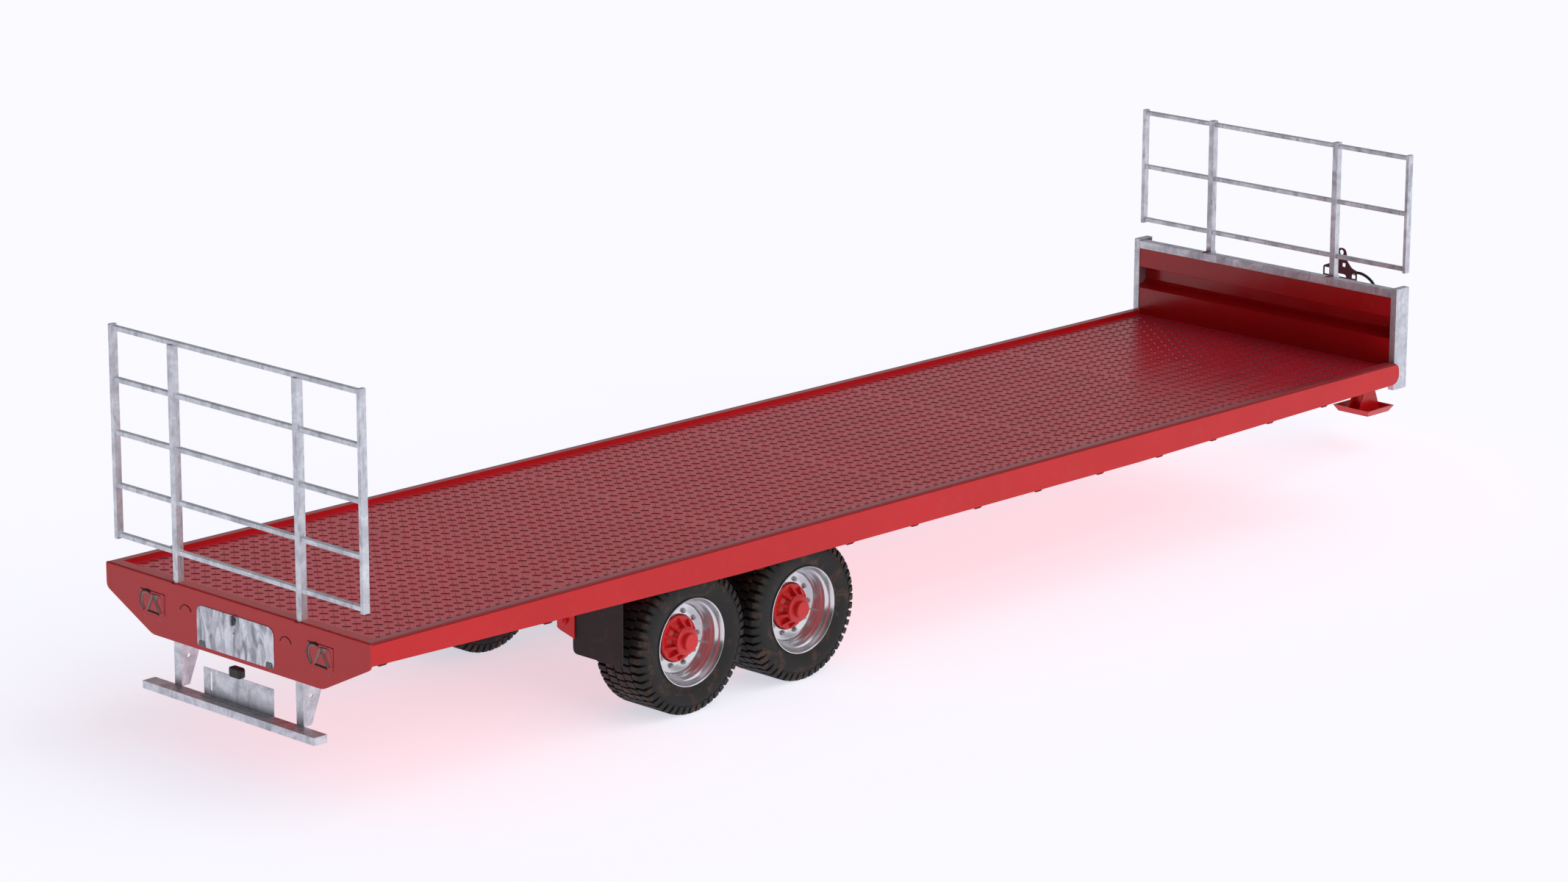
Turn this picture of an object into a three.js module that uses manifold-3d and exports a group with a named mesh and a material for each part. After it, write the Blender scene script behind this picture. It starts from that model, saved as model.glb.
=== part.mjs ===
// Flatbed bale trailer: a tandem-axle flat bed with a headboard, two lift-out racks, a rear bumper,
// a balance-spring bogie and a drawbar with a hydraulic parking jack.
// Millimetres. +X is forward, +Y is left, +Z is up, and the origin is on the ground midway along.
import * as THREE from 'three';
import { mergeVertices } from 'three/addons/utils/BufferGeometryUtils.js';
import Module from 'manifold-3d';

const wasm = await Module();
wasm.setup();

// Driving dimensions ---------------------------------------------------------------------------
const GAP = 0.3; // left between pieces that touch

const BED_WIDTH = 2440;
const BED_REAR = -5600; // rear face of the rear beam
const BED_TOP = 1055; // top of the side rails and the rear beam
const HEADBOARD_REAR = 3982; // face of the headboard towards the load
const HEADBOARD_DEPTH = 145;
const HEADBOARD_HEIGHT = 522; // above the bed

const DECK_DROP = 28; // the deck lies this far below the rail tops
const DECK_THICKNESS = 6;
const DECK_SHEETS = 6;

const RAIL_FLANGE = 65;
const RAIL_WALL = 8;
const RAIL_DEPTH = { rear: 140, middle: 200, front: 155 };
const RAIL_TAPER_ENDS = { rear: -2600, front: 1200 };
const RAIL_NOSE = 52; // the rails' rounded ends reach this far past the headboard's rear face

const BEAM_PLATE = 10;
const BEAM_FLANGE_DEPTH = 80;
const BEAM_END_DEPTH = 159;
const BEAM_KNEE = { y: 788, depth: 371 };

const MAIN_BEAM = { y: 450, width: 102, bottom: 700, flange: 8, web: 6 };
const BEARER = { depth: 64, width: 60, wall: 5 };

const AXLE_HEIGHT = 461; // also the tyre radius
const AXLE_SPACING = 984;
const BOGIE_CENTRE = -2424;
const WHEEL_TRACK = 1910; // between the tyres' middle planes
const TRUNNION_HEIGHT = 545;
const SPRING = { y: 555, width: 70, leaf: 16, leaves: 6, rise: 75, overhang: 95 };
const AXLE_BEAM = 100;

const RACK = { postWidth: 45, postDepth: 50, postY: 568.5, bar: 30 };
const REAR_RACK = {
  x: -5560, halfWidth: 1147, stile: 28, bottom: 153, top: 1488, postTop: 1455, barHeights: [180, 490, 820, 1148, 1466],
};
const FRONT_RACK = { x: 4082, halfWidth: 1222, stile: 26, bottom: 639, top: 1488, postTop: 1491, barHeights: [665, 1063, 1464] };
const RACK_SOCKET_DEPTH = 95;

const DOOR = { halfWidth: 355, bottom: 710, top: 965, thickness: 4 };
const LAMP = { y: 775, width: 230, z: 887, height: 136, depth: 40 };
const BUMPER = { rear: -5680, depth: 100, halfLength: 796, top: 409, height: 50 };
const PLATE_BRACKET = { right: -330, left: 317, top: 582, x: -5592 };
const MUDFLAP = { x: -3452, inner: 620, outer: 1060, bottom: 400, top: 925, thickness: 8 };

const DRAWBAR = { rearX: 3400, rearY: 400, rearZ: 630, frontX: 5400, frontY: 112, frontZ: 530, width: 80, depth: 120 };
const EYE = { x: 5620, z: 530, radius: 60, hole: 26, thickness: 46 };
const JACK = { x: 5230, tube: 120, leg: 98, footBottom: 265, footX: 250, footY: 275, lip: 48, flare: 30 };
const HOSE_STAND = { x: 4900, y: 5, base: 630, thickness: 8 };
const HOSE_RADIUS = 11;

// Materials ------------------------------------------------------------------------------------
const paint = new THREE.MeshStandardMaterial({ color: 0xc8282d, roughness: 0.3, metalness: 0.0 });
const galvanised = new THREE.MeshStandardMaterial({ color: 0xb4b6bc, roughness: 0.45, metalness: 0.8 });
const rubber = new THREE.MeshStandardMaterial({ color: 0x26221f, roughness: 0.85, metalness: 0.0 });
const wheelSilver = new THREE.MeshStandardMaterial({ color: 0xc4c5c8, roughness: 0.25, metalness: 0.9 });
const lampPlastic = new THREE.MeshStandardMaterial({ color: 0x3a2422, roughness: 0.4, metalness: 0.0 });
const steel = new THREE.MeshStandardMaterial({ color: 0x55575b, roughness: 0.5, metalness: 0.7 });

const trailer = new THREE.Group();

function add(name, geometry, material) {
  const mesh = new THREE.Mesh(geometry, material);
  mesh.name = name;
  trailer.add(mesh);
}

// Shape helpers --------------------------------------------------------------------------------
function box(x0, x1, y0, y1, z0, z1) {
  const geometry = new THREE.BoxGeometry(x1 - x0, y1 - y0, z1 - z0);
  return geometry.translate((x0 + x1) / 2, (y0 + y1) / 2, (z0 + z1) / 2);
}

// An outline with straight sides; a corner given as [a, b, radius] is rounded.
function outline(corners) {
  const path = new THREE.Shape();
  corners.forEach(([a, b, radius = 0], i) => {
    const here = new THREE.Vector2(a, b);
    const [before, after] = [corners.at(i - 1), corners[(i + 1) % corners.length]].map((corner) => {
      const towards = new THREE.Vector2(corner[0], corner[1]).sub(here).normalize();
      return here.clone().addScaledVector(towards, radius);
    });
    if (i === 0) path.moveTo(before.x, before.y);
    else path.lineTo(before.x, before.y);
    if (radius > 0) path.quadraticCurveTo(a, b, after.x, after.y);
  });
  path.closePath();
  return path;
}

// A bent sheet seen from its end: a line of corners, given its thickness on the left of the line.
function bentSheet(corners, thickness) {
  const face = corners.map(([a, b]) => new THREE.Vector2(a, b));
  const normals = face.slice(1).map((point, i) => {
    const along = point.clone().sub(face[i]).normalize();
    return new THREE.Vector2(-along.y, along.x);
  });
  const back = face.map((point, i) => {
    const before = normals[Math.max(i - 1, 0)];
    const after = normals[Math.min(i, normals.length - 1)];
    const mitre = before.clone().add(after).normalize();
    return point.clone().addScaledVector(mitre, thickness / mitre.dot(after));
  });
  return new THREE.Shape([...face, ...back.reverse()]);
}

// Extrudes a shape drawn on the XY, XZ or YZ plane between two places on the third axis.
function extrude(plane, shape, from, to) {
  const options = { depth: to - from, bevelEnabled: false, curveSegments: 4 };
  const geometry = new THREE.ExtrudeGeometry(shape, options);
  const [x, y, z] = [0, 1, 2].map((axis) => new THREE.Vector3().setComponent(axis, 1));
  const basis = new THREE.Matrix4();
  if (plane === 'XY') basis.makeBasis(x, y, z);
  if (plane === 'YZ') basis.makeBasis(y, z, x);
  if (plane === 'XZ') basis.makeBasis(x, z, y.clone().negate());
  geometry.translate(0, 0, plane === 'XZ' ? -to : from);
  return geometry.applyMatrix4(basis);
}

function cylinder(radius, from, to, segments = 16) {
  const start = new THREE.Vector3(...from);
  const along = new THREE.Vector3(...to).sub(start);
  const geometry = new THREE.CylinderGeometry(radius, radius, along.length(), segments);
  const turn = new THREE.Quaternion().setFromUnitVectors(new THREE.Vector3(0, 1, 0), along.clone().normalize());
  return geometry.applyQuaternion(turn).translate(...start.addScaledVector(along, 0.5));
}

// A straight box section of a width and depth between two points on its middle line.
function beamBetween(from, to, width, depth) {
  const start = new THREE.Vector3(...from);
  const along = new THREE.Vector3(...to).sub(start);
  const length = along.length();
  const forward = along.clone().normalize();
  const side = new THREE.Vector3(0, 0, 1).cross(forward).normalize();
  const up = forward.clone().cross(side);
  const geometry = new THREE.BoxGeometry(length, width, depth);
  geometry.applyMatrix4(new THREE.Matrix4().makeBasis(forward, side, up));
  return geometry.translate(...start.addScaledVector(along, 0.5));
}

function toSolid(geometry) {
  const bare = geometry.clone();
  bare.deleteAttribute('normal');
  bare.deleteAttribute('uv');
  const merged = mergeVertices(bare.index ? bare : mergeVertices(bare), 1e-3);
  const mesh = new wasm.Mesh({
    numProp: 3,
    vertProperties: new Float32Array(merged.attributes.position.array),
    triVerts: new Uint32Array(merged.index.array),
  });
  return new wasm.Manifold(mesh);
}

function toGeometry(solid) {
  const { vertProperties, triVerts } = solid.getMesh();
  const geometry = new THREE.BufferGeometry();
  geometry.setAttribute('position', new THREE.BufferAttribute(vertProperties, 3));
  geometry.setIndex(new THREE.BufferAttribute(triVerts, 1));
  return geometry;
}

function join(...geometries) {
  return toGeometry(geometries.map(toSolid).reduce((whole, next) => whole.add(next)));
}

function cut(geometry, ...tools) {
  return toGeometry(tools.map(toSolid).reduce((whole, tool) => whole.subtract(tool), toSolid(geometry)));
}

function common(first, second) {
  return toGeometry(toSolid(first).intersect(toSolid(second)));
}

// Sides: +1 is left (+Y), -1 is right (-Y). A box at a mirrored pair of Y places.
const SIDES = [['left', 1], ['right', -1]];

function sideBox(side, x0, x1, inner, outer, z0, z1) {
  return side > 0 ? box(x0, x1, inner, outer, z0, z1) : box(x0, x1, -outer, -inner, z0, z1);
}

// Bed ------------------------------------------------------------------------------------------
const HALF_WIDTH = BED_WIDTH / 2;
const DECK_TOP = BED_TOP - DECK_DROP;
const DECK_BOTTOM = DECK_TOP - DECK_THICKNESS;
const DECK_HALF = HALF_WIDTH - RAIL_FLANGE - GAP;
const DECK_REAR = BED_REAR + BEAM_FLANGE_DEPTH + GAP;
const DECK_FRONT = HEADBOARD_REAR - GAP;
const SHEET_LENGTH = (DECK_FRONT - DECK_REAR) / DECK_SHEETS;
const RAIL_REAR = BED_REAR + BEAM_PLATE + GAP;

function railSection() {
  const edge = 15; // radius of the rounded top edge
  const [outside, inside] = [HALF_WIDTH, HALF_WIDTH - RAIL_FLANGE];
  const arc = [0, 30, 60, 90].map((degrees) => {
    const angle = THREE.MathUtils.degToRad(degrees);
    return [outside - edge + edge * Math.cos(angle), BED_TOP - edge + edge * Math.sin(angle)];
  });
  const corners = [[outside, BED_TOP - RAIL_DEPTH.middle - 10], ...arc, [inside, BED_TOP], [inside, DECK_BOTTOM]];
  return bentSheet(corners, RAIL_WALL);
}

function sideRail(side) {
  const tip = HEADBOARD_REAR + RAIL_NOSE;
  const section = extrude('YZ', railSection(), RAIL_REAR, tip);
  const sideView = outline([
    [RAIL_REAR, BED_TOP + 1],
    [RAIL_REAR, BED_TOP - RAIL_DEPTH.rear],
    [RAIL_TAPER_ENDS.rear, BED_TOP - RAIL_DEPTH.middle],
    [RAIL_TAPER_ENDS.front, BED_TOP - RAIL_DEPTH.middle],
    [tip, BED_TOP - RAIL_DEPTH.front, 77],
    [tip, BED_TOP, 77],
    [tip - 150, BED_TOP],
    [tip - 150, BED_TOP + 1],
  ]);
  const whole = common(section, extrude('XZ', sideView, 0, HALF_WIDTH + 10));
  const rail = cut(whole, box(DECK_FRONT, tip + 1, 0, HALF_WIDTH - RAIL_WALL, 0, BED_TOP + 10));
  return side > 0 ? rail : toGeometry(toSolid(rail).mirror([0, 1, 0]));
}

function rearBeam() {
  const { y: kneeY, depth: kneeDepth } = BEAM_KNEE;
  const [top, end, knee] = [BED_TOP, BED_TOP - BEAM_END_DEPTH, BED_TOP - kneeDepth];
  const face = outline([
    [-HALF_WIDTH, top, 12], [-HALF_WIDTH, end, 30], [-kneeY, knee, 30],
    [kneeY, knee, 30], [HALF_WIDTH, end, 30], [HALF_WIDTH, top, 12],
  ]);
  const [front, back] = [BED_REAR + BEAM_FLANGE_DEPTH, BED_REAR + BEAM_PLATE - 1];
  const sheet = RAIL_WALL;
  const plate = extrude('YZ', face, BED_REAR, BED_REAR + BEAM_PLATE);
  const flange = box(back, front, -DECK_HALF, DECK_HALF, top - sheet, top);
  const drop = box(front - sheet, front, -DECK_HALF, DECK_HALF, DECK_BOTTOM, top - 1);
  const lip = box(back, front - 20, -490, 490, knee, knee + sheet);
  const sockets = SIDES.map(([, side]) => {
    return sideBox(side, back, front, RACK.postY - 28, RACK.postY + 28, top - RACK_SOCKET_DEPTH - 5, top - 1);
  });
  const holes = SIDES.map(([, side]) => {
    const half = RACK.postWidth / 2 + 1;
    const [rear, ahead] = [REAR_RACK.x - RACK.postDepth / 2 - 1, REAR_RACK.x + RACK.postDepth / 2 + 1];
    const floor = top - RACK_SOCKET_DEPTH;
    return sideBox(side, rear, ahead, RACK.postY - half, RACK.postY + half, floor, top + 1);
  });
  const lampHoles = SIDES.map(([, side]) => {
    const [halfWidth, halfHeight] = [LAMP.width / 2 + 2, LAMP.height / 2 + 2];
    const [inner, outer] = [LAMP.y - halfWidth, LAMP.y + halfWidth];
    return sideBox(side, BED_REAR - 1, back + 2, inner, outer, LAMP.z - halfHeight, LAMP.z + halfHeight);
  });
  const rim = 20;
  const [doorLow, doorHigh] = [DOOR.bottom + rim, DOOR.top - rim];
  const doorway = box(BED_REAR - 1, back + 2, rim - DOOR.halfWidth, DOOR.halfWidth - rim, doorLow, doorHigh);
  const notches = SIDES.map(([, side]) => {
    const half = RACK.postWidth / 2;
    const ahead = REAR_RACK.x - RACK.postDepth / 2;
    return sideBox(side, BED_REAR - 1, ahead, RACK.postY - half, RACK.postY + half, top - 13, top + 1);
  });
  const bend = 14; // the top rear edge is a bend of this radius
  const corner = new THREE.Shape();
  corner.moveTo(BED_REAR - 1, top - bend);
  corner.lineTo(BED_REAR, top - bend);
  corner.quadraticCurveTo(BED_REAR, top, BED_REAR + bend, top);
  corner.lineTo(BED_REAR + bend, top + 1);
  corner.lineTo(BED_REAR - 1, top + 1);
  corner.closePath();
  const rounding = extrude('XZ', corner, -HALF_WIDTH - 1, HALF_WIDTH + 1);
  const body = cut(join(plate, flange, drop, lip, ...sockets), rounding);
  return cut(body, ...holes, ...notches, ...lampHoles, doorway);
}

function mainBeam(side) {
  const { y, width, bottom, flange, web } = MAIN_BEAM;
  const top = DECK_BOTTOM - BEARER.depth - 2 * GAP;
  const [half, halfWeb] = [width / 2, web / 2];
  const section = outline([
    [-half, bottom], [half, bottom], [half, bottom + flange], [halfWeb, bottom + flange],
    [halfWeb, top - flange], [half, top - flange], [half, top], [-half, top],
    [-half, top - flange], [-halfWeb, top - flange], [-halfWeb, bottom + flange], [-half, bottom + flange],
  ]);
  return extrude('YZ', section, RAIL_REAR, HEADBOARD_REAR - 7).translate(0, side * y, 0);
}

function crossBearer(x) {
  const [top, half] = [DECK_BOTTOM - GAP, BEARER.width / 2];
  const bottom = top - BEARER.depth;
  const channel = bentSheet([[x + half, bottom], [x + half, top], [x - half, top], [x - half, bottom]], BEARER.wall);
  const reach = HALF_WIDTH - RAIL_WALL - GAP;
  return extrude('XZ', channel, -reach, reach);
}

for (const [name, side] of SIDES) {
  add(`main_beam_${name}`, mainBeam(side), paint);
  add(`side_rail_${name}`, sideRail(side), paint);
}
add('rear_beam', rearBeam(), paint);

const bearerPlaces = [DECK_REAR + 45];
for (let i = 1; i < DECK_SHEETS; i += 1) bearerPlaces.push(DECK_REAR + i * SHEET_LENGTH);
bearerPlaces.push(DECK_FRONT - 45);
bearerPlaces.forEach((x, i) => add(`cross_bearer_${i + 1}`, crossBearer(x), paint));

for (let i = 0; i < DECK_SHEETS; i += 1) {
  const rear = DECK_REAR + i * SHEET_LENGTH;
  const sheet = box(rear, rear + SHEET_LENGTH - GAP, -DECK_HALF, DECK_HALF, DECK_BOTTOM, DECK_TOP);
  add(`deck_sheet_${i + 1}`, sheet, paint);
}

// Headboard ------------------------------------------------------------------------------------
const HEADBOARD_FRONT = HEADBOARD_REAR + HEADBOARD_DEPTH;
const HEADBOARD_TOP = BED_TOP + HEADBOARD_HEIGHT;
const HEADBOARD_WALL = 6;
const HEADBOARD_FACE = 50; // width of the galvanised frame seen from the load

const HEADBOARD_OUTER = HALF_WIDTH - RAIL_WALL - GAP; // the posts stand inside the rails' outer walls
const HEADBOARD_INNER = HEADBOARD_OUTER - HEADBOARD_FACE;
const RACK_FOOT = BED_TOP + 345; // the front rack's posts stand here, above the panel's recess

function headboardPost(side) {
  const [inner, outer] = [HEADBOARD_INNER, HEADBOARD_OUTER];
  const channel = bentSheet([
    [HEADBOARD_FRONT, inner], [HEADBOARD_FRONT, outer], [HEADBOARD_REAR, outer], [HEADBOARD_REAR, inner],
  ], HEADBOARD_WALL);
  const [foot, top] = [BED_TOP - RAIL_DEPTH.middle, HEADBOARD_TOP + 11];
  const post = join(
    extrude('XY', channel, foot, top),
    box(HEADBOARD_REAR, HEADBOARD_FRONT, inner, outer, top - HEADBOARD_WALL, top),
  );
  return side > 0 ? post : toGeometry(toSolid(post).mirror([0, 1, 0]));
}

// A channel with a socket behind it for each post of the front rack, and a notch in front of the socket.
function headboardTopRail() {
  const [low, top] = [HEADBOARD_TOP - HEADBOARD_FACE - 5, HEADBOARD_TOP];
  const front = HEADBOARD_REAR + 70;
  const channel = bentSheet([
    [front, low], [front, top], [HEADBOARD_REAR, top], [HEADBOARD_REAR, low],
  ], HEADBOARD_WALL);
  const reach = HEADBOARD_INNER - GAP;
  const [halfX, halfY] = [RACK.postDepth / 2 + 1, RACK.postWidth / 2 + 1];
  const [rear, ahead] = [FRONT_RACK.x - halfX, FRONT_RACK.x + halfX];
  const [inner, outer] = [RACK.postY - halfY, RACK.postY + halfY];
  const sleeves = SIDES.map(([, side]) => sideBox(side, front - 1, ahead + 4, inner - 4, outer + 4, RACK_FOOT - 7, top));
  const holes = SIDES.map(([, side]) => sideBox(side, rear, ahead, inner, outer, RACK_FOOT - GAP, top + 1));
  const notches = SIDES.map(([, side]) => {
    return sideBox(side, HEADBOARD_REAR + 9, rear + 1, inner + 1, outer - 1, top - 30, top + 1);
  });
  return cut(join(extrude('XZ', channel, -reach, reach), ...sleeves), ...holes, ...notches);
}

// One pressed sheet: an upper band, a recess with a ledge under it, and a lower band down to the bed.
function headboardPanel() {
  const rear = HEADBOARD_REAR + HEADBOARD_WALL + GAP;
  const back = rear + 118;
  const sheet = 4;
  const profile = bentSheet([
    [rear, DECK_BOTTOM - 60], [rear, BED_TOP + 168], [back - 18, BED_TOP + 196], [back, BED_TOP + 215],
    [back, BED_TOP + 300], [back - 10, BED_TOP + 312], [rear, BED_TOP + 328],
    [rear, HEADBOARD_TOP - HEADBOARD_WALL - GAP],
  ].reverse(), sheet);
  const reach = HEADBOARD_OUTER - HEADBOARD_WALL - GAP;
  return extrude('XZ', profile, -reach, reach);
}

for (const [name, side] of SIDES) add(`headboard_post_${name}`, headboardPost(side), galvanised);
add('headboard_top_rail', headboardTopRail(), galvanised);
add('headboard_panel', headboardPanel(), paint);

// Lift-out racks -------------------------------------------------------------------------------
function rack({ x, halfWidth, stile, bottom, top, postTop, barHeights }, postFoot) {
  const halfPost = RACK.postDepth / 2;
  const halfBar = RACK.bar / 2;
  const pieces = [];
  for (const [, side] of SIDES) {
    const [inner, outer] = [RACK.postY - RACK.postWidth / 2, RACK.postY + RACK.postWidth / 2];
    const [low, high] = [BED_TOP + bottom, BED_TOP + top];
    pieces.push(sideBox(side, x - halfPost, x + halfPost, halfWidth - stile, halfWidth, low, high));
    pieces.push(sideBox(side, x - halfPost, x + halfPost, inner, outer, postFoot, BED_TOP + postTop));
  }
  for (const height of barHeights) {
    const z = BED_TOP + height;
    pieces.push(box(x - halfBar, x + halfBar, 1 - halfWidth, halfWidth - 1, z - halfBar, z + halfBar));
  }
  return join(...pieces);
}

const rearPostFoot = BED_TOP - RACK_SOCKET_DEPTH + GAP;
add('rear_rack', rack(REAR_RACK, rearPostFoot), galvanised);
add('front_rack', rack(FRONT_RACK, RACK_FOOT), galvanised);

// Rear fittings --------------------------------------------------------------------------------
function doorLeaf() {
  const { halfWidth, bottom, top, thickness } = DOOR;
  const shape = outline([[-halfWidth, bottom, 20], [halfWidth, bottom, 20], [halfWidth, top, 60], [-halfWidth, top, 60]]);
  return extrude('YZ', shape, BED_REAR - thickness - GAP, BED_REAR - GAP);
}

const LATCH = { y: 10, z: 935, radius: 17, reach: 12 };

function doorLatch() {
  const face = BED_REAR - DOOR.thickness - 2 * GAP;
  const knob = cylinder(LATCH.radius, [face - LATCH.reach, LATCH.y, LATCH.z], [face, LATCH.y, LATCH.z], 12);
  const grip = box(face - LATCH.reach - 6, face - 1, LATCH.y - 5, LATCH.y + 5, LATCH.z - 30, LATCH.z + 30);
  return join(knob, grip);
}

function rearLamp(side) {
  const [halfWidth, halfHeight] = [LAMP.width / 2, LAMP.height / 2];
  const [inner, outer] = [LAMP.y - halfWidth, LAMP.y + halfWidth];
  return sideBox(side, BED_REAR - 5, BED_REAR + LAMP.depth, inner, outer, LAMP.z - halfHeight, LAMP.z + halfHeight);
}

// Both legs are alike: the side web is on the right edge of the rear flange.
function bumperLeg(side) {
  const rear = RAIL_REAR + GAP;
  const [foot, shoulder, top] = [BUMPER.top + GAP, 700, 770];
  const sheet = 6;
  const right = side > 0 ? 532 : -597;
  const profile = outline([
    [rear, foot], [rear + 62, foot], [rear + 176, shoulder], [rear + 176, top, 20], [rear, top, 20],
  ]);
  const hole = cylinder(13, [rear + 62, right - 5, 590], [rear + 62, right + 20, 590], 12);
  const web = cut(extrude('XZ', profile, right, right + sheet), hole);
  return join(web, box(rear, rear + sheet, right, right + 65, foot, top));
}

function bumperBar() {
  const { rear, depth, halfLength, top, height } = BUMPER;
  const sheet = 5;
  const whole = box(rear, rear + depth, -halfLength, halfLength, top - height, top);
  const hollow = box(
    rear + sheet, rear + depth - sheet, sheet - halfLength, halfLength - sheet, top - height - 1, top - sheet,
  );
  return cut(whole, hollow);
}

function plateBracket() {
  const { right, left, top, x } = PLATE_BRACKET;
  const sheet = 4;
  const foot = BUMPER.top + GAP;
  const face = outline([[right, foot], [left, foot], [left, top, 6], [right, top, 6]]);
  const slot = box(x - 5, x + 10, 240, 255, top - 135, top - 18);
  return join(cut(extrude('YZ', face, x, x + sheet), slot), box(x - 30, x + 1, right, left, foot, foot + sheet));
}

add('tail_door', doorLeaf(), galvanised);
add('door_latch', doorLatch(), steel);
for (const [name, side] of SIDES) {
  add(`rear_lamp_${name}`, rearLamp(side), lampPlastic);
  add(`bumper_leg_${name}`, bumperLeg(side), galvanised);
}
add('bumper_bar', bumperBar(), galvanised);
add('number_plate_bracket', plateBracket(), galvanised);
const lampFloor = PLATE_BRACKET.top + GAP;
add('number_plate_lamp', box(PLATE_BRACKET.x - 28, PLATE_BRACKET.x + 22, -55, 55, lampFloor, lampFloor + 66), rubber);

for (const [name, side] of SIDES) {
  const { x, inner, outer, bottom, top, thickness } = MUDFLAP;
  const shape = outline([[side * inner, bottom, 40], [side * outer, bottom, 40], [side * outer, top], [side * inner, top]]);
  add(`mudflap_${name}`, extrude('YZ', shape, x, x + thickness), rubber);
}

// Bogie ----------------------------------------------------------------------------------------
const AXLE_PLACES = [['rear', BOGIE_CENTRE - AXLE_SPACING / 2], ['front', BOGIE_CENTRE + AXLE_SPACING / 2]];
const SEAT_TOP = AXLE_HEIGHT + AXLE_BEAM / 2 + 8;
const SPRING_INNER = SPRING.y - SPRING.width / 2;
const SPRING_OUTER = SPRING.y + SPRING.width / 2;

// The fixed cross shaft that the springs rock on, with its two hanger plates under the main beams.
function bogieHanger() {
  const shaft = cylinder(40, [BOGIE_CENTRE, -SPRING_OUTER - 12, TRUNNION_HEIGHT], [BOGIE_CENTRE, SPRING_OUTER + 12, TRUNNION_HEIGHT]);
  const top = MAIN_BEAM.bottom - GAP;
  const plate = outline([
    [BOGIE_CENTRE - 230, top], [BOGIE_CENTRE - 75, TRUNNION_HEIGHT - 70, 40],
    [BOGIE_CENTRE + 75, TRUNNION_HEIGHT - 70, 40], [BOGIE_CENTRE + 230, top],
  ]);
  const plates = SIDES.map(([, side]) => {
    const middle = side * MAIN_BEAM.y;
    return extrude('XZ', plate, middle - 20, middle + 20);
  });
  return join(shaft, ...plates);
}

// A pack of leaves, arched up in the middle, on a saddle block that turns on the shaft.
function leafSpring(side) {
  const half = AXLE_SPACING / 2 + SPRING.overhang;
  const bottom = (x) => SEAT_TOP + GAP + SPRING.rise * (1 - (x / (AXLE_SPACING / 2)) ** 2);
  const points = [];
  const steps = 10;
  for (let i = 0; i <= steps; i += 1) {
    const x = -half + (2 * half * i) / steps;
    points.push([x, Math.max(bottom(x), SEAT_TOP + GAP)]);
  }
  const ends = [];
  for (let leaf = 1; leaf <= SPRING.leaves; leaf += 1) {
    const reach = half * (1 - 0.135 * (leaf - 1));
    const inset = half * (1 - 0.135 * leaf);
    const height = (x) => Math.max(bottom(x), SEAT_TOP + GAP) + leaf * SPRING.leaf;
    ends.push([reach, height(reach)], [leaf < SPRING.leaves ? inset : 0, height(leaf < SPRING.leaves ? inset : 0)]);
  }
  const top = [...ends, ...ends.slice(0, -1).reverse().map(([x, z]) => [-x, z])];
  const shape = outline([...points, ...top].map(([x, z]) => [x + BOGIE_CENTRE, z]));
  const pack = extrude('XZ', shape, SPRING_INNER, SPRING_OUTER);
  const crown = bottom(0) + 2;
  const saddle = box(BOGIE_CENTRE - 75, BOGIE_CENTRE + 75, SPRING_INNER, SPRING_OUTER, TRUNNION_HEIGHT - 62, crown);
  const bore = cylinder(45, [BOGIE_CENTRE, SPRING_INNER - 5, TRUNNION_HEIGHT], [BOGIE_CENTRE, SPRING_OUTER + 5, TRUNNION_HEIGHT]);
  const spring = cut(join(pack, saddle), bore);
  return side > 0 ? spring : toGeometry(toSolid(spring).mirror([0, 1, 0]));
}

const HUB_INNER = -190; // along the wheel's axis from the tyre's middle plane, outward positive

function axle(x) {
  const half = AXLE_BEAM / 2;
  const end = WHEEL_TRACK / 2 + HUB_INNER - 20;
  const tip = WHEEL_TRACK / 2 + 70;
  const beam = box(x - half, x + half, -end, end, AXLE_HEIGHT - half, AXLE_HEIGHT + half);
  const spindle = cylinder(38, [x, -tip, AXLE_HEIGHT], [x, tip, AXLE_HEIGHT]);
  const seats = SIDES.map(([, side]) => {
    return sideBox(side, x - 60, x + 60, SPRING_INNER - 5, SPRING_OUTER + 5, AXLE_HEIGHT + half - 2, SEAT_TOP);
  });
  return join(beam, spindle, ...seats);
}

add('bogie_hanger', bogieHanger(), paint);
for (const [name, side] of SIDES) add(`leaf_spring_${name}`, leafSpring(side), paint);
for (const [name, x] of AXLE_PLACES) add(`axle_${name}`, axle(x), paint);

// Wheels: profiles are [radius, place along the axis, outward positive]
const WHEEL_SEGMENTS = 28;
const TREAD_RADIUS = AXLE_HEIGHT / Math.cos(Math.PI / WHEEL_SEGMENTS); // flats touch the ground

const TYRE_PROFILE = [
  [275, 150], [375, 180], [436, 168], [TREAD_RADIUS, 148], [TREAD_RADIUS, -148], [436, -168], [375, -180],
  [275, -150], [287, -126], [418, -138], [418, 138], [287, 126],
];
const RIM_PROFILE = [
  [281, 166], [281, 154], [273.5, 154], [273.5, -160], [259, -160], [249, -60], [228, -4], [152, 18],
  [152, 33], [220, 25], [233, 62], [249, 100], [265, 112],
];
const HUB_PROFILE = [
  [0, 168], [57, 168], [57, 128], [92, 122], [135, 62], [147.5, 56], [147.5, -30], [205, -45],
  [205, HUB_INNER], [45, HUB_INNER], [45, 80], [0, 80],
];

function turned(profile, segments, closed) {
  const points = profile.map(([radius, along]) => new THREE.Vector2(radius, along));
  if (closed) points.push(points[0].clone());
  points.reverse();
  return new THREE.LatheGeometry(points, segments, Math.PI / segments);
}

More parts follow.
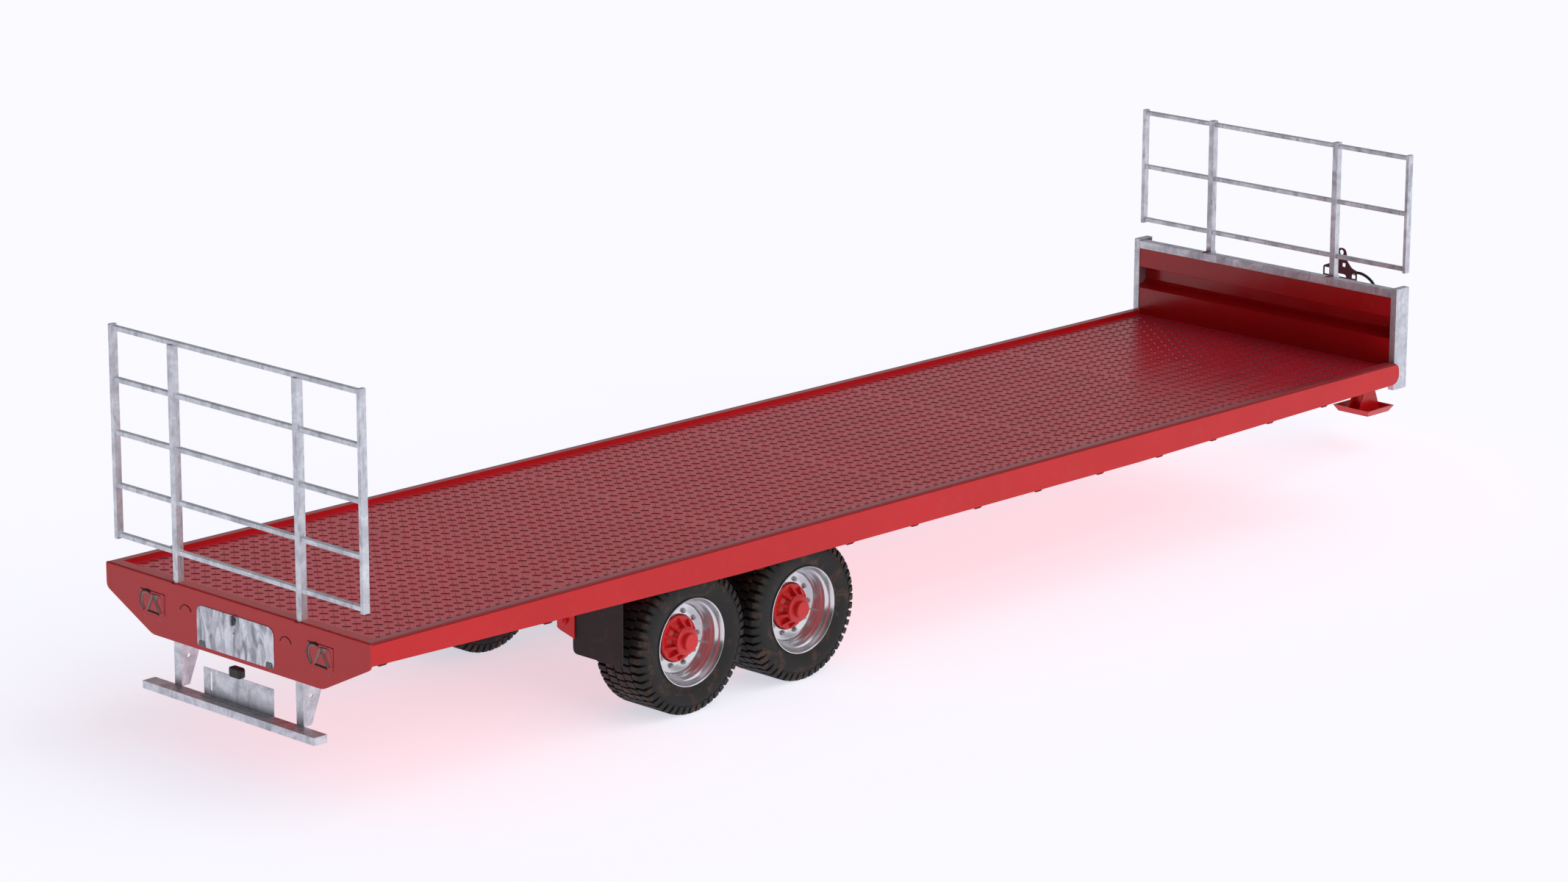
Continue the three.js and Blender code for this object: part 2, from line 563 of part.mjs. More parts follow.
for (const [end, x] of AXLE_PLACES) {
  for (const [name, side] of SIDES) {
    const place = (geometry) => {
      if (side < 0) geometry.rotateZ(Math.PI);
      return geometry.translate(x, (side * WHEEL_TRACK) / 2, AXLE_HEIGHT);
    };
    add(`tyre_${end}_${name}`, place(turned(TYRE_PROFILE, WHEEL_SEGMENTS, true)), rubber);
    add(`rim_${end}_${name}`, place(turned(RIM_PROFILE, WHEEL_SEGMENTS, true)), wheelSilver);
    add(`hub_${end}_${name}`, place(turned(HUB_PROFILE, 20, false)), paint);
  }
}

// Drawbar --------------------------------------------------------------------------------------
function drawbarPoint(x, side) {
  const { rearX, rearY, rearZ, frontX, frontY, frontZ } = DRAWBAR;
  const share = (x - rearX) / (frontX - rearX);
  return [x, side * (rearY + share * (frontY - rearY)), rearZ + share * (frontZ - rearZ)];
}

function drawbar() {
  const { rearX, frontX, frontZ, width, depth } = DRAWBAR;
  const pieces = [];
  for (const [, side] of SIDES) {
    pieces.push(beamBetween(drawbarPoint(rearX, side), drawbarPoint(frontX, side), width, depth));
    pieces.push(sideBox(side, rearX + 60, rearX + 400, MAIN_BEAM.y - 110, MAIN_BEAM.y + 51, 640, MAIN_BEAM.bottom - GAP));
  }
  pieces.push(box(frontX - 30, frontX + 50, -152, 152, frontZ - 60, frontZ + 60));
  pieces.push(box(HOSE_STAND.x - 60, HOSE_STAND.x + 60, -225, 225, HOSE_STAND.base - 30, HOSE_STAND.base - GAP));
  pieces.push(box(JACK.x - 80, JACK.x + 80, -130, 130, frontZ - 40, frontZ + 70));
  const [, fittingY] = drawbarPoint(HOSE_END[0], -1);
  pieces.push(cylinder(16, [HOSE_END[0], fittingY, 600], [HOSE_END[0], fittingY, HOSE_END[2] - GAP], 12));
  const half = JACK.tube / 2 + 1;
  return cut(join(...pieces), box(JACK.x - half, JACK.x + half, -half, half, 400, 700));
}

function towingEye() {
  const { x, z, radius, hole, thickness } = EYE;
  const back = DRAWBAR.frontX + 50 + GAP;
  const ring = new THREE.Shape().absarc(x, 0, radius, 0, 2 * Math.PI, false);
  const eye = new THREE.ExtrudeGeometry(ring, { depth: thickness, bevelEnabled: false, curveSegments: 20 });
  eye.translate(0, 0, z - thickness / 2);
  const shank = box(back, x - hole - 8, -24, 24, z - thickness / 2 + 2, z + thickness / 2 - 2);
  const flange = box(back, back + 22, -80, 80, z - 50, z + 50);
  const bore = cylinder(hole, [x, 0, z - thickness], [x, 0, z + thickness], 20);
  return cut(join(eye, shank, flange), bore);
}

function jackTube() {
  const [half, hole] = [JACK.tube / 2, JACK.leg / 2 + 1];
  const [low, high] = [440, 1010];
  const tube = box(JACK.x - half, JACK.x + half, -half, half, low, high);
  return cut(tube, box(JACK.x - hole, JACK.x + hole, -hole, hole, low - 1, high - 8));
}

// The sliding leg with its gussets and its foot, a flat plate with flared lips all round.
function jackLeg() {
  const { x, leg, footBottom, footX, footY, lip, flare } = JACK;
  const half = leg / 2;
  const sheet = 8;
  const bore = half - sheet;
  const tube = cut(
    box(x - half, x + half, -half, half, footBottom + 2, 960),
    box(x - bore, x + bore, -bore, bore, footBottom + 30, 970),
  );
  const gusset = outline([
    [x - 130, footBottom + 4], [x + 130, footBottom + 4], [x + 70, footBottom + 150], [x - 70, footBottom + 150],
  ]);
  const gussets = [-half - 4, half - 4].map((y) => extrude('XZ', gusset, y, y + sheet));
  const outer = flaredBlock(footX / 2, footY / 2, lip, flare);
  const inner = flaredBlock(footX / 2 - sheet, footY / 2 - sheet, lip, flare).translate(0, 0, sheet);
  const tray = cut(outer, inner).translate(x, 0, footBottom);
  return join(tray, tube, ...gussets);
}

// A block that is wider at the top than at the bottom, the same on all four sides.
function flaredBlock(halfX, halfY, height, flare) {
  const geometry = new THREE.BoxGeometry(2 * halfX, 2 * halfY, height).translate(0, 0, height / 2);
  const place = geometry.attributes.position;
  for (let i = 0; i < place.count; i += 1) {
    if (place.getZ(i) < height / 2) continue;
    place.setX(i, place.getX(i) + Math.sign(place.getX(i)) * flare);
    place.setY(i, place.getY(i) + Math.sign(place.getY(i)) * flare);
  }
  return geometry;
}

// The hose stand: a post with a plate that has two slotted ears, an arch and a ring on top.
function hoseStand() {
  const { x, y, base, thickness } = HOSE_STAND;
  const half = thickness / 2;
  const face = outline([
    [y - 155, 1335], [y - 155, 1408, 8], [y - 108, 1420, 25], [y - 62, 1470, 15], [y - 52, 1540, 12],
    [y - 30, 1562, 12], [y + 8, 1562, 12], [y + 30, 1540, 12], [y + 62, 1460, 15], [y + 90, 1435, 10],
    [y + 155, 1408, 12], [y + 155, 1335],
  ]);
  const slots = [[-145, 1347, -108, 1398], [98, 1347, 145, 1398], [-50, 1423, -20, 1452]].map(([a, b, c, d]) => {
    return box(x - 20, x + 20, y + a, y + c, b, d);
  });
  const ring = cylinder(19, [x - 20, y - 11, 1530], [x + 20, y - 11, 1530]);
  const plate = extrude('YZ', face, x - half, x + half);
  const arch = outline([[y - 60, 1330], [y + 45, 1330], [y + 45, 1368, 25], [y - 60, 1368, 25]]);
  const archCut = extrude('YZ', arch, x - 20, x + 20);
  const bridge = box(x - half, x + half, y - 150, y + 150, 1300, 1345);
  const post = box(x - 20, x + 20, y - 20, y + 20, base, 1310);
  const foot = box(x - 50, x + 50, y - 60, y + 60, base, base + 8);
  return join(cut(plate, archCut, ...slots, ring), bridge, post, foot);
}

// The hydraulic hose leaves the stand's right ear, arches over and dives to a fitting on the drawbar.
const HOSE_END = [4340, -264, 668];
const HOSE_ROUTE = [
  [4915.5, -75, 1384], [4915.5, -115, 1390], [4915, -165, 1394], [4913, -222, 1382], [4909, -280, 1352],
  [4901, -328, 1303], [4888, -360, 1238], [4866, -378, 1162], [4832, -385, 1080], [4782, -382, 998],
  [4718, -372, 925], [4645, -355, 865], [4565, -333, 820], [4480, -308, 785], [4405, -283, 755], [4358, -269, 726],
  [4342, -264.5, 700], [4340, -264, 685], HOSE_END,
];

function hose() {
  const curve = new THREE.CatmullRomCurve3(HOSE_ROUTE.map((point) => new THREE.Vector3(...point)));
  const section = new THREE.Shape().absarc(0, 0, HOSE_RADIUS, 0, 2 * Math.PI, false);
  return new THREE.ExtrudeGeometry(section, { steps: 36, extrudePath: curve, curveSegments: 4 });
}

add('drawbar', drawbar(), paint);
add('towing_eye', towingEye(), steel);
add('jack_tube', jackTube(), paint);
add('jack_leg', jackLeg(), paint);
add('hose_stand', hoseStand(), paint);
add('hose', hose(), rubber);

export default trailer;
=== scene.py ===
"""Looks for the flatbed bale trailer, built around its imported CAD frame. Metres, +X forward, +Z up."""
import math
import random

import bmesh
import bpy
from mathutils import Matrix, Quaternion, Vector


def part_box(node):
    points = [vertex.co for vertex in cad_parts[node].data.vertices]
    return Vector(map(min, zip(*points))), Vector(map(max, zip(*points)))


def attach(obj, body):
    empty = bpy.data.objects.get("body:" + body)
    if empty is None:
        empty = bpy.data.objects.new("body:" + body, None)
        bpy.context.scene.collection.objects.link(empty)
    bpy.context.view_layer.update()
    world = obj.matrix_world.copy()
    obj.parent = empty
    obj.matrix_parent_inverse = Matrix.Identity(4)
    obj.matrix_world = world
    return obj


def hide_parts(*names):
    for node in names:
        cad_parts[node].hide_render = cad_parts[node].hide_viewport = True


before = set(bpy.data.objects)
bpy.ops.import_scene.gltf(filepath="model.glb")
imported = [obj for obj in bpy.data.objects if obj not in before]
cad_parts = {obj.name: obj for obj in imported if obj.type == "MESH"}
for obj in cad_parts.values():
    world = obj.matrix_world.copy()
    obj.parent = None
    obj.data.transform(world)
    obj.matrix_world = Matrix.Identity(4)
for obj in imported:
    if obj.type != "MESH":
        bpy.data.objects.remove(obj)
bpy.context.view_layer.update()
SIDES = (("left", 1), ("right", -1))
ENDS = ("rear", "front")
DECK_SHEETS = range(1, 7)


# Camera, floor and light ------------------------------------------------------------------------
def add_camera():
    """The photograph's view: from behind on the right, a little above, through a long lens."""
    azimuth, elevation, roll = (math.radians(a) for a in (44.318, 14.636, 0.169))
    look = Vector(
        (
            math.cos(elevation) * math.cos(azimuth), math.cos(elevation) * math.sin(azimuth),
            -math.sin(elevation)
        )
    )
    data = bpy.data.cameras.new("camera")
    data.sensor_width = 36
    data.lens = 112.13
    data.clip_end = 500
    camera = bpy.data.objects.new("camera", data)
    camera.location = (-23.103, -21.617, 9.256)
    camera.rotation_mode = "QUATERNION"
    camera.rotation_quaternion = look.to_track_quat("-Z", "Y") @ Quaternion((0, 0, 1), roll)
    bpy.context.scene.collection.objects.link(camera)
    bpy.context.scene.camera = camera


def add_sun(name, towards, power, softness):
    """A broad soft source far away; towards points from the trailer to the light."""
    data = bpy.data.lights.new(name, "SUN")
    data.energy = power
    data.angle = math.radians(softness)
    light = bpy.data.objects.new(name, data)
    light.rotation_mode = "QUATERNION"
    light.rotation_quaternion = Vector(towards).to_track_quat("Z", "Y")
    bpy.context.scene.collection.objects.link(light)


def add_studio():
    """A white floor that glows a little, a dome that is dimmer towards the rear, and two soft lights."""
    bpy.context.scene.view_settings.view_transform = "Standard"
    world = bpy.data.worlds.new("studio")
    world.use_nodes = True
    nodes, links = world.node_tree.nodes, world.node_tree.links
    direction = nodes.new("ShaderNodeSeparateXYZ")
    links.new(nodes.new("ShaderNodeTexCoord").outputs["Generated"], direction.inputs[0])
    level = nodes.new("ShaderNodeMapRange")
    level.inputs["From Min"].default_value, level.inputs["From Max"].default_value = -0.7, 0.5
    level.inputs["To Min"].default_value, level.inputs["To Max"].default_value = 0.03, 0.38
    links.new(direction.outputs["X"], level.inputs["Value"])
    links.new(level.outputs["Result"], nodes["Background"].inputs["Strength"])
    nodes["Background"].inputs["Color"].default_value = (0.97, 0.97, 1, 1)
    bpy.context.scene.world = world
    add_sun("front_key", (0.45, -0.45, 0.77), 0.45, 50)
    add_sun("side_key", (-0.05, -0.94, 0.34), 0.75, 50)
    bpy.ops.mesh.primitive_plane_add(size=400, location=(0, 0, 0))
    floor = bpy.context.object
    floor.name = "floor"
    graph = Graph("floor")
    graph.set(base_color=(0.9, 0.88, 0.9, 1), roughness=0.9, specular_ior_level=0.0)
    graph.set(emission_color=(0.9, 0.91, 1, 1), emission_strength=0.655)
    floor.data.materials.append(graph.material)


# Materials --------------------------------------------------------------------------------------
class Graph:
    """A material's node tree, with short calls for the nodes used here."""

    def __init__(self, name):
        self.material = bpy.data.materials.new(name)
        self.material.use_nodes = True
        self.tree = self.material.node_tree
        self.shader = self.tree.nodes["Principled BSDF"]

    def put(self, socket, value):
        if isinstance(value, bpy.types.NodeSocket):
            self.tree.links.new(value, socket)
        else:
            socket.default_value = value

    def set(self, **values):
        names = {name.lower().replace(" ", "_"): name for name in self.shader.inputs.keys()}
        for key, value in values.items():
            self.put(self.shader.inputs[names[key]], value)

    def node(self, kind, settings=None, **inputs):
        node = self.tree.nodes.new(kind)
        for key, value in (settings or {}).items():
            setattr(node, key, value)
        for key, value in inputs.items():
            self.put(node.inputs[key], value)
        return node

    def place(self, stretch=(1, 1, 1)):
        """Object coordinates, which are the row frame's metres, stretched along each axis."""
        source = self.node("ShaderNodeTexCoord").outputs["Object"]
        return self.node("ShaderNodeMapping", Vector=source, Scale=stretch).outputs["Vector"]

    def noise(self, scale, detail=3, stretch=(1, 1, 1), distortion=0.0):
        return self.node(
            "ShaderNodeTexNoise", Vector=self.place(stretch), Scale=scale, Detail=detail,
            Distortion=distortion
        ).outputs["Fac"]

    def remap(self, value, low, high, to_low=0.0, to_high=1.0):
        inputs = {"Value": value, "From Min": low, "From Max": high, "To Min": to_low, "To Max": to_high}
        return self.node("ShaderNodeMapRange", **inputs).outputs["Result"]

    def mix(self, share, first, second):
        node = self.node("ShaderNodeMix", {"data_type": "RGBA"})
        self.put(node.inputs[0], share)
        self.put(node.inputs[6], first)
        self.put(node.inputs[7], second)
        return node.outputs[2]

    def multiply(self, first, second):
        node = self.node("ShaderNodeMath", {"operation": "MULTIPLY"})
        self.put(node.inputs[0], first)
        self.put(node.inputs[1], second)
        return node.outputs[0]

    def bump(self, height, strength, distance):
        inputs = {"Height": height, "Strength": strength, "Distance": distance}
        return self.node("ShaderNodeBump", **inputs).outputs["Normal"]

    def facing(self):
        """The direction that the sheet itself faces, before bump and smoothing."""
        return self.node("ShaderNodeNewGeometry").outputs["True Normal"]

    def upwards(self):
        return self.node("ShaderNodeSeparateXYZ", Vector=self.facing()).outputs["Z"]


def rgb(red, green, blue):
    return (red, green, blue, 1)


def paint(name, base, deep, roughness=(0.16, 0.26), shine=0.5, bend_shade=None, flank_shade=None, top_sheen=None):
    """Glossy two-pack paint: slow drifts of tone, faint orange peel and a thin layer of dust.

    The bend colour is painted shade on sloped faces such as sheet bends, the flank colour is painted shade
    on flanks that face the rear right, and the top colour is a painted pale sheen, a reflection, on level
    faces.
    """
    graph = Graph(name)
    drift = graph.remap(graph.noise(1.3, 4), 0.35, 0.65)
    colour = graph.mix(drift, deep, base)
    # Painted shade: sloped faces, such as the rounded bends of the sheet, are mixed towards a dark colour.
    if bend_shade:
        up = graph.upwards()
        slope = graph.multiply(graph.remap(up, 0.15, 0.3), graph.remap(up, 0.985, 0.9))
        colour = graph.mix(slope, colour, bend_shade)
    # Painted shade: flanks that face the rear right are mixed towards a dark colour, wherever the light
    # comes from.
    if flank_shade:
        towards = graph.node("ShaderNodeVectorMath", {"operation": "DOT_PRODUCT"})
        graph.put(towards.inputs[0], graph.facing())
        graph.put(towards.inputs[1], (-0.707, -0.707, 0))
        colour = graph.mix(graph.remap(towards.outputs["Value"], 0.05, 0.3), colour, flank_shade)
    # Painted reflection: level faces are mixed towards a paler, pinker sheen colour.
    if top_sheen:
        colour = graph.mix(graph.remap(graph.upwards(), 0.985, 0.995, 0, 0.8), colour, top_sheen)
    dust = graph.remap(graph.noise(9, 6, distortion=0.6), 0.56, 0.8, 0, 0.05)
    graph.set(base_color=graph.mix(dust, colour, rgb(0.42, 0.24, 0.2)))
    graph.set(roughness=graph.remap(graph.noise(6, 5), 0.3, 0.7, *roughness))
    graph.set(specular_ior_level=shine)
    graph.set(normal=graph.bump(graph.noise(420, 2), 0.05, 0.0006))
    return graph.material


def galvanised():
    """Hot-dip zinc: faint spangle, duller patches and darker runs down the piece."""
    graph = Graph("galvanised")
    cells = graph.node("ShaderNodeTexVoronoi", Vector=graph.place(), Scale=55.0).outputs["Color"]
    tone = graph.node("ShaderNodeRGBToBW", Color=cells).outputs["Val"]
    clouds = graph.remap(graph.noise(7, 6, distortion=1.2), 0.38, 0.66)
    runs = graph.remap(graph.noise(16, 4, (1, 1, 0.3), 1.6), 0.54, 0.7)
    light = graph.mix(graph.remap(tone, 0.25, 0.75), rgb(0.67, 0.69, 0.74), rgb(0.77, 0.79, 0.84))
    dull = graph.mix(graph.multiply(clouds, 0.6), light, rgb(0.46, 0.48, 0.53))
    graph.set(base_color=graph.mix(graph.multiply(runs, 0.4), dull, rgb(0.16, 0.17, 0.2)))
    graph.set(roughness=graph.remap(clouds, 0, 1, 0.34, 0.52), metallic=0.62)
    graph.set(normal=graph.bump(graph.noise(90, 4), 0.05, 0.0008))
    return graph.material


def streaked_zinc():
    """The tail door's zinc sheet: wavy upright streaks of dark and bright metal."""
    graph = Graph("streaked_zinc")
    streaks = graph.noise(8, 5, (1, 1.4, 0.5), 2.2)
    tone = graph.mix(graph.remap(streaks, 0.36, 0.64), rgb(0.30, 0.31, 0.35), rgb(0.78, 0.79, 0.85))
    graph.set(
        base_color=graph.mix(graph.remap(graph.noise(60, 4), 0.5, 0.8, 0, 0.4), tone, rgb(0.3, 0.3, 0.33))
    )
    graph.set(roughness=graph.remap(streaks, 0.35, 0.65, 0.45, 0.3), metallic=0.6)
    graph.set(normal=graph.bump(streaks, 0.25, 0.003))
    return graph.material


def rubber(name, base, dust, mud=0.0):
    """Black rubber with a grey bloom and, on a tyre, dried mud in patches."""
    graph = Graph(name)
    bloom = graph.remap(graph.noise(11, 6, distortion=0.8), 0.4, 0.75, 0, 0.55)
    colour = graph.mix(bloom, base, dust)
    if mud:
        patch = graph.remap(graph.noise(5.5, 8, distortion=1.4), 0.53, 0.68, 0, mud)
        fine = graph.remap(graph.noise(60, 5), 0.35, 0.6)
        colour = graph.mix(graph.multiply(patch, fine), colour, rgb(0.115, 0.06, 0.033))
    graph.set(base_color=colour, roughness=graph.remap(bloom, 0, 0.55, 0.62, 0.86))
    graph.set(specular_ior_level=0.35)
    graph.set(normal=graph.bump(graph.noise(230, 4), 0.2, 0.0008))
    return graph.material


def wheel_silver():
    """Bright painted rim: a light haze of dust and a faint unevenness."""
    graph = Graph("wheel_silver")
    haze = graph.remap(graph.noise(9, 4, distortion=0.4), 0.45, 0.8, 0, 0.16)
    graph.set(base_color=graph.mix(haze, rgb(0.72, 0.73, 0.76), rgb(0.55, 0.54, 0.54)))
    graph.set(roughness=graph.remap(haze, 0, 0.3, 0.2, 0.3), metallic=0.85)
    graph.set(normal=graph.bump(graph.noise(22, 2), 0.04, 0.001))
    return graph.material


def plain(name, base, roughness, metallic=0.0, grain=160, strength=0.1, second=None):
    """A moulded or machined surface: a base colour that drifts a little, with fine grain."""
    graph = Graph(name)
    other = second or tuple(channel * 0.6 for channel in base[:3]) + (1,)
    graph.set(base_color=graph.mix(graph.remap(graph.noise(25, 5), 0.35, 0.7), base, other))
    graph.set(roughness=graph.remap(graph.noise(60, 3), 0.3, 0.7, roughness * 0.85, roughness * 1.2))
    graph.set(metallic=metallic, normal=graph.bump(graph.noise(grain, 3), strength, 0.0005))
    return graph.material


MATERIALS = {
    "red_paint": paint("red_paint", rgb(0.62, 0.010, 0.013), rgb(0.56, 0.008, 0.010), shine=0.4),
    # Rail paint with painted shade on its sloped bends and a painted pale sheen of reflection on its level
    # tops.
    "rail_paint": paint(
        "rail_paint", rgb(0.66, 0.010, 0.013), rgb(0.60, 0.008, 0.010), shine=0.35,
        bend_shade=rgb(0.22, 0.003, 0.006), top_sheen=rgb(0.42, 0.07, 0.095),
    ),
    "deck_paint": paint(
        "deck_paint", rgb(0.78, 0.024, 0.05), rgb(0.72, 0.02, 0.042), (0.2, 0.3), shine=0.62
    ),
    # Tread paint with painted shade on the bar flanks that face the rear right.
    "tread_paint": paint(
        "tread_paint", rgb(0.82, 0.032, 0.06), rgb(0.76, 0.027, 0.052), (0.25, 0.35), shine=0.62,
        flank_shade=rgb(0.16, 0.002, 0.008)
    ),
    # A dark red that is painted shade: the shadow lines at the beam's round recesses, and the rope hooks in
    # the shade under the rails.
    "shadow_red_paint": paint(
        "shadow_red_paint", rgb(0.14, 0.002, 0.004), rgb(0.09, 0.002, 0.003), (0.3, 0.4), shine=0.2
    ),
    # Painted shade: the hose stand's red paint is given as a dark, shaded red.
    "shaded_stand_paint": paint(
        "shaded_stand_paint", rgb(0.14, 0.035, 0.05), rgb(0.08, 0.03, 0.038), (0.35, 0.45), shine=0.3
    ),
    "streaked_zinc": streaked_zinc(),
    "hub_paint": paint("hub_paint", rgb(0.70, 0.012, 0.014), rgb(0.62, 0.01, 0.01), (0.25, 0.36)),
    "galvanised": galvanised(), "wheel_silver": wheel_silver(),
    "tyre": rubber("tyre", rgb(0.014, 0.013, 0.013), rgb(0.036, 0.034, 0.032), mud=0.75),
    "flap_rubber": rubber("flap_rubber", rgb(0.018, 0.017, 0.018), rgb(0.05, 0.042, 0.04), mud=0.35),
    "hose_rubber": plain("hose_rubber", rgb(0.012, 0.012, 0.013), 0.5, grain=900, strength=0.25),
    "black_plastic": plain("black_plastic", rgb(0.014, 0.014, 0.015), 0.42),
    # Painted highlight: a pale pinkish grey for the lit sides of the lamp's raised ridges.
    "lamp_painted_highlight": plain("lamp_painted_highlight", rgb(0.34, 0.18, 0.17), 0.28, second=rgb(0.22, 0.13, 0.12)),
    # Painted shade: a near black red for the shaded walls beside the lamp's ridges.
    "lamp_painted_shade": plain("lamp_painted_shade", rgb(0.04, 0.018, 0.02), 0.3, second=rgb(0.07, 0.02, 0.022)),
    "lamp_lens": plain(
        "lamp_lens", rgb(0.62, 0.012, 0.015), 0.2, strength=0.02, second=rgb(0.56, 0.009, 0.012)
    ),
    "bare_steel": plain("bare_steel", rgb(0.2, 0.2, 0.21), 0.42, 0.9),
    "bolt_zinc": plain("bolt_zinc", rgb(0.5, 0.5, 0.5), 0.3, 1.0, second=rgb(0.3, 0.29, 0.28)),
    "nut_steel": plain("nut_steel", rgb(0.5, 0.49, 0.5), 0.3, 0.85, second=rgb(0.3, 0.28, 0.28)),
}


# Mesh helpers -----------------------------------------------------------------------------------
def piece(name, mesh, material, body, replaces=(), bevel=0.0, smooth=False):
    """Makes an object of a bmesh, gives it its material and bevel, and lets it ride on a body."""
    data = bpy.data.meshes.new(name)
    bmesh.ops.recalc_face_normals(mesh, faces=mesh.faces)
    mesh.to_mesh(data)
    mesh.free()
    made = bpy.data.objects.new(name, data)
    bpy.context.scene.collection.objects.link(made)
    data.materials.append(MATERIALS[material])
    finish_edges(made, bevel, smooth)
    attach(made, body)
    if replaces:
        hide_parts(*replaces)
    return made


def finish_edges(made, bevel, smooth):
    """Smooths gentle bends and rounds sharp edges."""
    if smooth:
        made.data.shade_smooth()
        made.data.set_sharp_from_angle(angle=math.radians(35))
    if bevel:
        edge = made.modifiers.new("edge", "BEVEL")
        edge.width = bevel
        edge.segments = 2
        edge.limit_method = "ANGLE"
        edge.angle_limit = math.radians(40)
        edge.harden_normals = False


def add_box(mesh, low, high):
    """Adds a box between two corners."""
    low, high = Vector(low), Vector(high)
    for corner in bmesh.ops.create_cube(mesh, size=1)["verts"]:
        corner.co = Vector([low[i] + (corner.co[i] + 0.5) * (high[i] - low[i]) for i in range(3)])


def add_prism(mesh, outline, low, high, axis):
    """Adds an extruded outline; its points are the two coordinates left when axis is taken out."""
    def at(point, depth):
        values = list(point)
        values.insert(axis, depth)
        return Vector(values)

    ends = [[mesh.verts.new(at(point, depth)) for point in outline] for depth in (low, high)]
    for ring in ends:
        mesh.faces.new(ring)
    for i in range(len(outline)):
        j = (i + 1) % len(outline)
        mesh.faces.new((ends[0][i], ends[0][j], ends[1][j], ends[1][i]))


def add_turned(mesh, profile, segments, centre=(0, 0, 0), axis=Vector((0, 1, 0)), closed=False):
    """Adds a profile of (radius, place along axis) turned about an axis through centre."""
    centre, axis = Vector(centre), Vector(axis).normalized()
    out = axis.orthogonal().normalized()
    rings = []
    for radius, along in profile:
        if radius == 0:
            rings.append([mesh.verts.new(centre + axis * along)])
            continue
        ring = []
        for i in range(segments):
            turn = Quaternion(axis, 2 * math.pi * i / segments)
            ring.append(mesh.verts.new(centre + axis * along + turn @ (out * radius)))
        rings.append(ring)
    pairs = list(zip(rings, rings[1:] + rings[:1])) if closed else list(zip(rings, rings[1:]))
    for first, second in pairs:
        for i in range(segments):
            j = (i + 1) % segments
            corners = [
                first[i % len(first)], first[j % len(first)], second[j % len(second)],
                second[i % len(second)]
            ]
            corners = list(dict.fromkeys(corners))
            if len(corners) > 2:
                mesh.faces.new(corners)


def add_bolt(mesh, place, axis, across, height, washer=True):
    """A hexagon head or nut with a washer and the end of its stud."""
    radius = across / math.sqrt(3)
    if washer:
        add_turned(
            mesh, [(0, 0), (radius * 1.25, 0), (radius * 1.25, height * 0.16), (0, height * 0.16)], 20,
            place, axis
        )
    base = height * 0.16
    add_turned(
        mesh, [(0, base), (radius, base), (radius, height * 0.85), (radius * 0.86, height), (0, height)],
        6, place, axis
    )
    stud = radius * 0.52
    add_turned(
        mesh, [(0, height * 0.9), (stud, height * 0.9), (stud, height * 1.35), (0, height * 1.4)], 12,
        place, axis
    )


def add_tube(mesh, points, radius, sides=10):
    """A round bar along points, with flat ends."""
    rings = []
    side = None
    for i, point in enumerate(points):
        along = (points[min(i + 1, len(points) - 1)] - points[max(i - 1, 0)]).normalized()
        side = along.orthogonal().normalized() if side is None else (
            side - along * side.dot(along)
        ).normalized()
        up = along.cross(side)
        turns = [2 * math.pi * k / sides for k in range(sides)]
        rings.append(
            [mesh.verts.new(point + (side * math.cos(t) + up * math.sin(t)) * radius) for t in turns]
        )
    for first, second in zip(rings, rings[1:]):
        for k in range(sides):
            mesh.faces.new((first[k], first[(k + 1) % sides], second[(k + 1) % sides], second[k]))
    mesh.faces.new(rings[0])
    mesh.faces.new(rings[-1])


# The CAD frame's own looks ----------------------------------------------------------------------
NODE_LOOKS = (
    ("deck_sheet", "deck_paint", 0.0), ("headboard_panel", "red_paint", 0.002),
    ("headboard", "galvanised", 0.003), ("rear_rack", "galvanised", 0.0025),
    ("front_rack", "galvanised", 0.0025), ("tail_door", "streaked_zinc", 0.0015),
    ("bumper", "galvanised", 0.0015), ("number_plate_bracket", "galvanised", 0.001),
    ("number_plate_lamp", "black_plastic", 0.016), ("door_latch", "bare_steel", 0.002),
    ("towing_eye", "bare_steel", 0.004), ("rear_lamp", "lamp_lens", 0.007),
    ("mudflap", "flap_rubber", 0.0015), ("tyre", "tyre", 0.0), ("rim", "wheel_silver", 0.0),
    ("hub", "hub_paint", 0.0), ("hose_stand", "shaded_stand_paint", 0.0015), ("hose", "hose_rubber", 0.0),
    ("leaf_spring", "red_paint", 0.0015), ("rear_beam", "red_paint", 0.0015),
    # The hose stand's dark red is painted shade.
    ("side_rail", "rail_paint", 0.002), ("jack", "red_paint", 0.0025), ("drawbar", "red_paint", 0.004),
    ("", "red_paint", 0.0015),
)


def dress_frame():
    """Gives each CAD node the first look whose name it starts with."""
    for name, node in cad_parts.items():
        material, bevel = next((look[1], look[2]) for look in NODE_LOOKS if name.startswith(look[0]))
        node.data.materials.clear()
        node.data.materials.append(MATERIALS[material])
        if bevel:
            weld = node.modifiers.new("weld", "WELD")
            weld.merge_threshold = 0.00002
            finish_edges(node, bevel, False)


